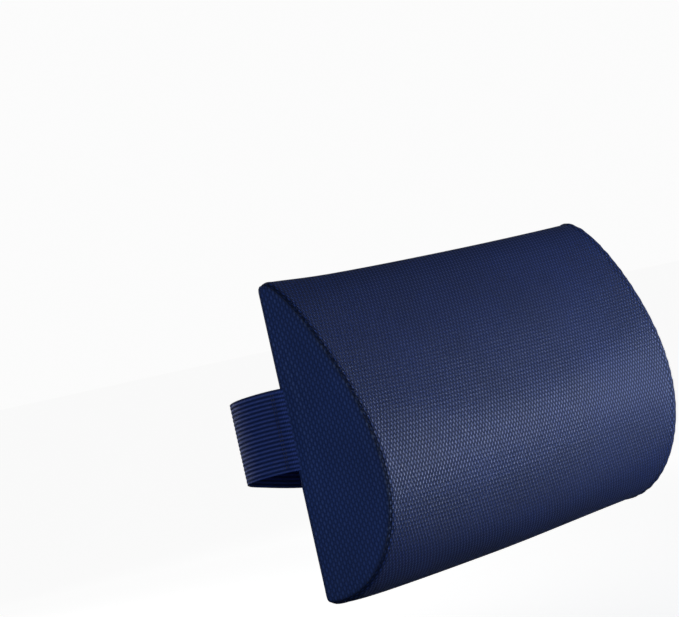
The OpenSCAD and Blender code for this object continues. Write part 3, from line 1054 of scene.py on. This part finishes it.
def inner_shell(name, xs, outer, inner, material, stands_for):
    """A shell inside the cover between two depths under its face, solid where inner is None."""
    outside = wrap_surface(xs, outer)
    rows = len(xs)
    if inner is None:
        ends = [outside[k].mean(0) for k in (0, -1)]
        points = np.concatenate([outside.reshape(-1, 3), ends])
        faces = grid_faces(rows, FINE_V, True)
        low, high = rows * FINE_V, rows * FINE_V + 1
        last = (rows - 1) * FINE_V
        for c in range(FINE_V):
            d = (c + 1) % FINE_V
            faces += [(d, c, low), (last + c, last + d, high)]
    else:
        points = np.concatenate([outside, wrap_surface(xs[::-1], inner)]).reshape(-1, 3)
        faces = grid_faces(2 * rows, FINE_V, True)
        last = (2 * rows - 1) * FINE_V
        faces += [(last + c, last + (c + 1) % FINE_V, (c + 1) % FINE_V, c) for c in range(FINE_V)]
    uv = np.stack([points[:, 0], points[:, 2]], 1)
    return finish_piece(mesh_piece(name, points, faces, uv), material, "cushion", [stands_for])


def make_core():
    """The foam, its sleeve and the folded edges of the cover along both end seams."""
    xs = np.linspace(-FOAM_HALF, FOAM_HALF, 60)
    foam_in = 2 * COVER_T + SLEEVE_T
    foam = inner_shell("foam_block", xs, foam_in + 0.1 * MM, None, FOAM, "foam_core")
    inner_shell("knit_sleeve", xs, 2 * COVER_T + 0.1 * MM, foam_in, SLEEVE, "core_sleeve")
    for name, side in (("left", -1), ("right", 1)):
        xs = side * np.linspace(SEAM_X - BAND_W, SEAM_X - 0.6 * MM, 12)
        node = f"{name}_seam_allowance"
        inner_shell(f"{name}_seam_edges", np.sort(xs), COVER_T, 2 * COVER_T, INNER, node)


def dress_hidden_nodes():
    """The flat pieces inside the back keep their CAD shapes and get a cloth of their own."""
    for name in ("back_seam_allowance", "elastic_anchor", "fabric_anchor"):
        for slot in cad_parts[name].material_slots:
            slot.material = INNER


# ---------------- camera, light and floor
CAMERA_AZIMUTH = -58.5
CAMERA_ELEVATION = -0.1
CAMERA_ROLL = -12.65
LENS = 182.8
DISTANCE = 2.22
LOOK_AT = Vector((-0.031, 0.050, 0.074))


def make_camera():
    """The camera: it looks at the object from the azimuth, then rolls about its own axis."""
    a, e, r = (math.radians(d) for d in (CAMERA_AZIMUTH, CAMERA_ELEVATION, CAMERA_ROLL))
    back = Vector((math.sin(a) * math.cos(e), -math.cos(a) * math.cos(e), math.sin(e)))
    right = Vector((0, 0, 1)).cross(back).normalized()
    up = back.cross(right)
    across = math.cos(r) * right + math.sin(r) * up
    turn = Matrix((across, back.cross(across), back)).transposed()
    data = bpy.data.cameras.new("camera")
    data.lens = LENS
    data.sensor_width = 36
    camera = bpy.data.objects.new("camera", data)
    camera.matrix_world = Matrix.Translation(LOOK_AT + DISTANCE * back) @ turn.to_4x4()
    bpy.context.scene.collection.objects.link(camera)
    bpy.context.scene.camera = camera


def softbox(name, way, far, size, glow, colour=(1, 1, 1)):
    """A square light that faces the cushion from one direction; glow is its brightness."""
    data = bpy.data.lights.new(name, "AREA")
    data.shape = "SQUARE"
    data.size = size
    data.energy = glow * math.pi * size ** 2
    data.color = colour
    light = bpy.data.objects.new(name, data)
    light.location = far * Vector(way).normalized()
    light.rotation_euler = Vector(way).to_track_quat("Z", "Y").to_euler()
    light.visible_camera = False
    bpy.context.scene.collection.objects.link(light)


def make_floor():
    """A pale floor under the cushion, paler far off, where it meets the white behind it."""
    bpy.ops.mesh.primitive_plane_add(size=80, location=(0, 0, WRAP_LO.z - 0.12))
    floor = bpy.context.object
    floor.name = "floor"
    nodes = Nodes("floor")
    place = nodes.new("ShaderNodeTexCoord").outputs["Object"]
    far = nodes.new("ShaderNodeVectorMath", operation="LENGTH")
    nodes.link(place, far.inputs[0])
    glow = range_to(nodes, far.outputs["Value"], 0.2, 2.5, 0.62, 0.95)
    nodes.set(Base_Color=(0.6, 0.6, 0.6, 1), Roughness=0.9, Specular_IOR_Level=0.0,
              Emission_Color=(1, 1, 1, 1), Emission_Strength=glow)
    floor.data.materials.append(nodes.material)
    floor.visible_diffuse = floor.visible_glossy = False


def make_studio():
    """A white background, soft lights and the floor."""
    world = bpy.context.scene.world or bpy.data.worlds.new("studio")
    bpy.context.scene.world = world
    world.use_nodes = True
    background = world.node_tree.nodes["Background"].inputs
    background["Color"].default_value = (1, 1, 1, 1)
    background["Strength"].default_value = 0.97
    # The white behind the cushion is only seen; the softboxes light it
    world.cycles_visibility.diffuse = world.cycles_visibility.glossy = False
    softbox("key", (0.75, -0.66, -0.045), 1.1, 0.42, 16, (0.88, 0.92, 1))
    softbox("fill", (-0.85, -0.52, 0.1), 2.3, 1.6, 2.6, (0.85, 0.93, 1))
    softbox("low", (-0.1, -0.93, -0.36), 2.0, 1.2, 6.4, (0.84, 0.9, 1))
    softbox("side", (-1.0, 0.1, 0.05), 2.0, 1.2, 0.9, (0.9, 0.95, 1))
    softbox("back", (0.15, 1.0, 0.5), 1.8, 1.4, 3.2)
    make_floor()
    bpy.context.scene.view_settings.view_transform = "Standard"


make_camera()
make_studio()
make_cover()
make_core()
make_elastic()
make_strap_stitches(*make_fabric())
make_patches()
dress_hidden_nodes()
